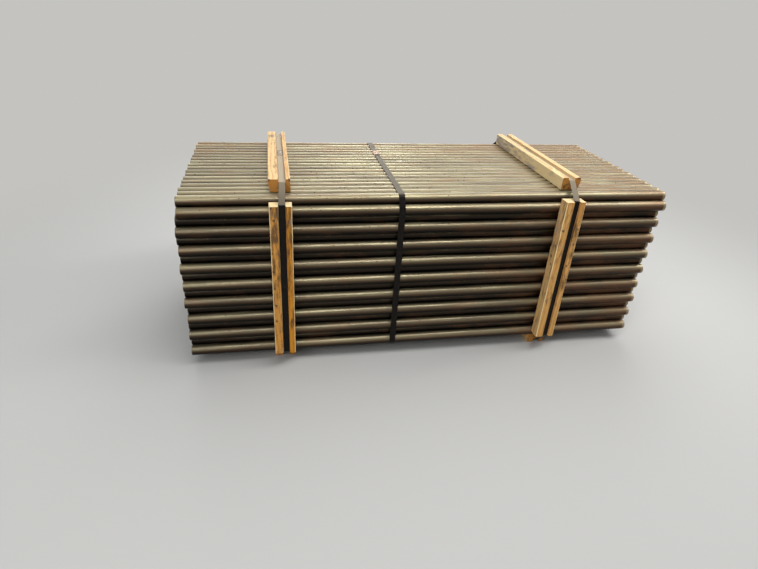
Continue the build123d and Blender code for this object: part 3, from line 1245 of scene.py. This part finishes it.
@dataclass
class Seal:
    """Crimped seal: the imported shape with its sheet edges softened."""

    node: str
    soft: float = 0.2 * MM
    merge_distance: float = 1e-6
    flat_angle: float = 1.0

    def build(self, steel: bpy.types.Material) -> None:
        """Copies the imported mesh, merges it and bevels its edges.

        Args:
            steel: Material of the seal.
        """
        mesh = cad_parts[self.node].data.copy()
        shell = bmesh.new()
        shell.from_mesh(mesh)
        bmesh.ops.remove_doubles(shell, verts=shell.verts, dist=self.merge_distance)
        bmesh.ops.dissolve_limit(
            shell, angle_limit=math.radians(self.flat_angle), verts=shell.verts, edges=shell.edges
        )
        bmesh.ops.bevel(
            shell,
            geom=shell.edges,
            offset=self.soft,
            segments=2,
            affect="EDGES",
            clamp_overlap=True,
        )
        bmesh.ops.recalc_face_normals(shell, faces=shell.faces)
        shell.to_mesh(mesh)
        shell.free()
        mesh.materials.clear()
        mesh.materials.append(steel)
        link_piece(mesh, f"{self.node}_clip", [self.node])


@dataclass(frozen=True)
class Lamp:
    """A soft rectangular lamp: where it hangs, what it faces, its width and height, and its watts."""

    name: str
    place: Point
    aim: Point
    size: tuple[float, float]
    power: float

    def hang(self) -> None:
        """Adds the lamp to the scene."""
        light = bpy.data.lights.new(self.name, "AREA")
        light.shape = "RECTANGLE"
        light.size, light.size_y = self.size
        light.energy = self.power
        lamp = bpy.data.objects.new(self.name, light)
        bpy.context.scene.collection.objects.link(lamp)
        lamp.location = self.place
        way = Vector(self.aim) - Vector(self.place)
        lamp.rotation_euler = way.to_track_quat("-Z", "Y").to_euler()


@dataclass
class Studio:
    """Plain pale floor with a backdrop on all four sides, soft lamps, the world and the camera."""

    floor: str = "#c4c3c0"
    floor_roughness: float = 0.9
    floor_reach: float = 12.0
    backdrop_height: float = 4.0
    even_ramp: Ramp = Ramp(1.0, 2.6)
    sky: str = "#dfe3e8"
    sky_strength: float = 0.26
    lamps: tuple[Lamp, ...] = (
        Lamp("roof_light", (0.9, -0.8, 2.7), (0.6, -0.2, 0.4), (4.4, 0.3), 56.0),
        Lamp("right_light", (2.4, -0.8, 2.7), (0.7, -0.3, 0.3), (1.4, 0.4), 14.0),
        Lamp("ceiling_light", (0.0, 1.3, 3.0), (0.0, 0.2, 0.4), (4.0, 2.6), 37.0),
        Lamp("rear_light", (0.6, 3.3, 1.9), (0.0, 0.0, 0.5), (5.0, 1.1), 63.0),
        Lamp("rear_glow", (0.35, 3.2, 1.9), (-0.1, 0.0, 0.5), (0.9, 1.0), 13.0),
        Lamp("front_light", (-2.2, -2.7, 2.0), (0.0, 0.0, 0.3), (2.0, 1.6), 42.0),
    )
    lens: float = 25.381
    sensor: float = 36.0
    sight: float = 300.0
    eye: Point = (-0.48736, -1.76337, 1.09753)
    turn: Point = (60.8721, -3.1263, -10.429)

    def build(self) -> None:
        """Builds the floor, the world, the lamps and the camera."""
        scene = bpy.context.scene
        scene.view_settings.view_transform = "Standard"
        self._floor()
        world = bpy.data.worlds.new("studio")
        world.use_nodes = True
        ground = next(node for node in world.node_tree.nodes if node.type == "BACKGROUND")
        ground.inputs["Color"].default_value = linear(self.sky)
        ground.inputs["Strength"].default_value = self.sky_strength
        scene.world = world
        for lamp in self.lamps:
            lamp.hang()
        camera = bpy.data.objects.new("camera", bpy.data.cameras.new("camera"))
        scene.collection.objects.link(camera)
        camera.location = self.eye
        camera.rotation_euler = Euler([math.radians(angle) for angle in self.turn], "XYZ")
        camera.data.lens = self.lens
        camera.data.sensor_width = self.sensor
        camera.data.clip_end = self.sight
        scene.camera = camera

    def _floor(self) -> None:
        """A matt floor that takes the shadow; far off, camera and reflections see it evenly pale."""
        mesh = bpy.data.meshes.new("floor")
        ways = ((-1, -1), (1, -1), (1, 1), (-1, 1))
        heights = (0, self.backdrop_height)
        corners = [(x * self.floor_reach, y * self.floor_reach, z) for z in heights for x, y in ways]
        walls = [(index, (index + 1) % 4, 4 + (index + 1) % 4, 4 + index) for index in range(4)]
        mesh.from_pydata(corners, [], [(0, 1, 2, 3), *walls])
        material, tree, shader = new_finish("matt_floor")
        shader.inputs["Base Color"].default_value = linear(self.floor)
        shader.inputs["Roughness"].default_value = self.floor_roughness
        node = partial(add_node, tree)
        place = node("ShaderNodeTexCoord").outputs["Object"]
        away = node("ShaderNodeVectorMath", {0: place}, operation="LENGTH").outputs[1]
        far = node(
            "ShaderNodeMapRange", self.even_ramp.of(away), interpolation_type="SMOOTHSTEP"
        ).outputs[0]
        ray = node("ShaderNodeLightPath").outputs
        seen = node("ShaderNodeMath", {0: ray["Is Camera Ray"], 1: ray["Is Glossy Ray"]}).outputs[0]
        through = {0: seen, 1: ray["Is Transmission Ray"]}
        seen = node("ShaderNodeMath", through, use_clamp=True).outputs[0]
        share = node("ShaderNodeMath", {0: far, 1: seen}, operation="MULTIPLY").outputs[0]
        plain = node("ShaderNodeEmission", {"Color": linear(self.floor)}).outputs[0]
        mixed = node("ShaderNodeMixShader", {0: share, 1: shader.outputs[0], 2: plain}).outputs[0]
        output = next(node for node in tree.nodes if node.type == "OUTPUT_MATERIAL")
        tree.links.new(mixed, output.inputs["Surface"])
        mesh.materials.append(material)
        floor = bpy.data.objects.new("floor", mesh)
        bpy.context.scene.collection.objects.link(floor)


def battens() -> list[Batten]:
    """Describes the eight battens of both frames.

    Returns:
        The battens, top and front ones first.
    """
    clean, honey, dark = Look(0.15, 0.1), Look(0.5, 0.35), Look(0.9, 0.75)
    pale_end = Look(0.0, 0.25)
    return [
        Batten(
            "top_batten_left",
            AHEAD,
            UP,
            seed=1,
            groove_shift=8.0 * MM,
            wane=Side.LEFT,
            outer=Look(0.4, 0.45),
            strip=honey,
            left=Look(0.25, 0.2),
            knots=(Knot(-30.0, 37.0, 562.0, 6.0), Knot(30.0, 37.0, 562.0, 7.0)),
        ),
        Batten(
            "top_batten_right",
            AHEAD,
            UP,
            seed=2,
            groove_shift=0.0,
            wane=Side.RIGHT,
            outer=Look(0.25, 0.25),
            left=Look(0.0, 0.15, 0.65),
            end=Look(0.6, 0.6),
            knots=(Knot(-22.0, 8.0, 562.0, 6.0), Knot(24.0, 37.0, 562.0, 7.0)),
        ),
        Batten(
            "front_batten_left",
            DOWN,
            AHEAD,
            seed=3,
            outer=Look(0.88, 0.9),
            strip=Look(1.0, 0.85),
            left=Look(0.1, 0.1),
            right=dark,
            end=pale_end,
            end_depth=0.0,
            knots=(
                Knot(-20.5, 38.1, 40.0, 5.0),
                Knot(-27.5, 38.1, 142.0, 4.0),
                Knot(-26.0, 38.1, 202.0, 5.5),
                Knot(-25.0, 38.1, 258.0, 5.0),
                Knot(-22.5, 38.1, 317.0, 5.5),
                Knot(-24.0, 38.1, 373.0, 5.0),
            ),
        ),
        Batten(
            "front_batten_right",
            DOWN,
            AHEAD,
            seed=4,
            outer=Look(0.74, 0.6),
            strip=Look(0.74, 0.7),
            left=Look(0.5, 0.6, 0.3),
            end=pale_end,
            end_depth=0.0,
            knots=(
                Knot(-24.3, 38.1, 93.0, 6.0),
                Knot(-31.7, 25.0, 151.0, 6.0),
                Knot(-31.7, 14.0, 190.0, 6.5),
                Knot(26.2, 38.1, 89.0, 4.0),
                Knot(22.1, 38.1, 141.0, 5.0),
                Knot(18.1, 38.1, 218.0, 4.0),
                Knot(-31.7, 20.0, 217.0, 5.0),
            ),
        ),
        Batten("bottom_batten_left", BEHIND, DOWN, seed=5),
        Batten("bottom_batten_right", BEHIND, DOWN, seed=6),
        Batten("back_batten_left", UP, BEHIND, seed=7, outer=honey, left=clean, right=dark),
        Batten("back_batten_right", UP, BEHIND, seed=8, outer=clean, left=honey, right=clean),
    ]


def main() -> None:
    """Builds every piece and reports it."""
    logging.basicConfig(level=logging.INFO, format="%(message)s")
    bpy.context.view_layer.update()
    Studio().build()
    nest = PipeNest()
    nest.build(PipeIron().build())
    timber = battens()
    pine = SawnPine().build([knot for batten in timber for knot in batten.knot_places()])
    for batten in timber:
        batten.build(pine)
    dusty_steel = StrapSteel().build()
    bare_steel = StrapSteel(name="bare_strapping_steel", dust="#6c6251").build()
    grey_seal = SealSteel().build()
    pale_seal = SealSteel(name="worn_seal_steel", dark="#b5907c", scuff="#e0c4b0", rust="#a9705c").build()
    straps: list[tuple[Strap, bpy.types.Material, bpy.types.Material]] = [
        (FrameStrap("strap_left", side=Side.LEFT, top_groove=8.0 * MM), dusty_steel, grey_seal),
        (PipeStrap("strap_middle", nest=nest), bare_steel, pale_seal),
        (FrameStrap("strap_right", side=Side.RIGHT), dusty_steel, grey_seal),
    ]
    for strap, strap_steel, seal_steel in straps:
        strap.build(strap_steel)
        Seal(strap.seal_node).build(seal_steel)


if __name__ == "__main__":
    main()
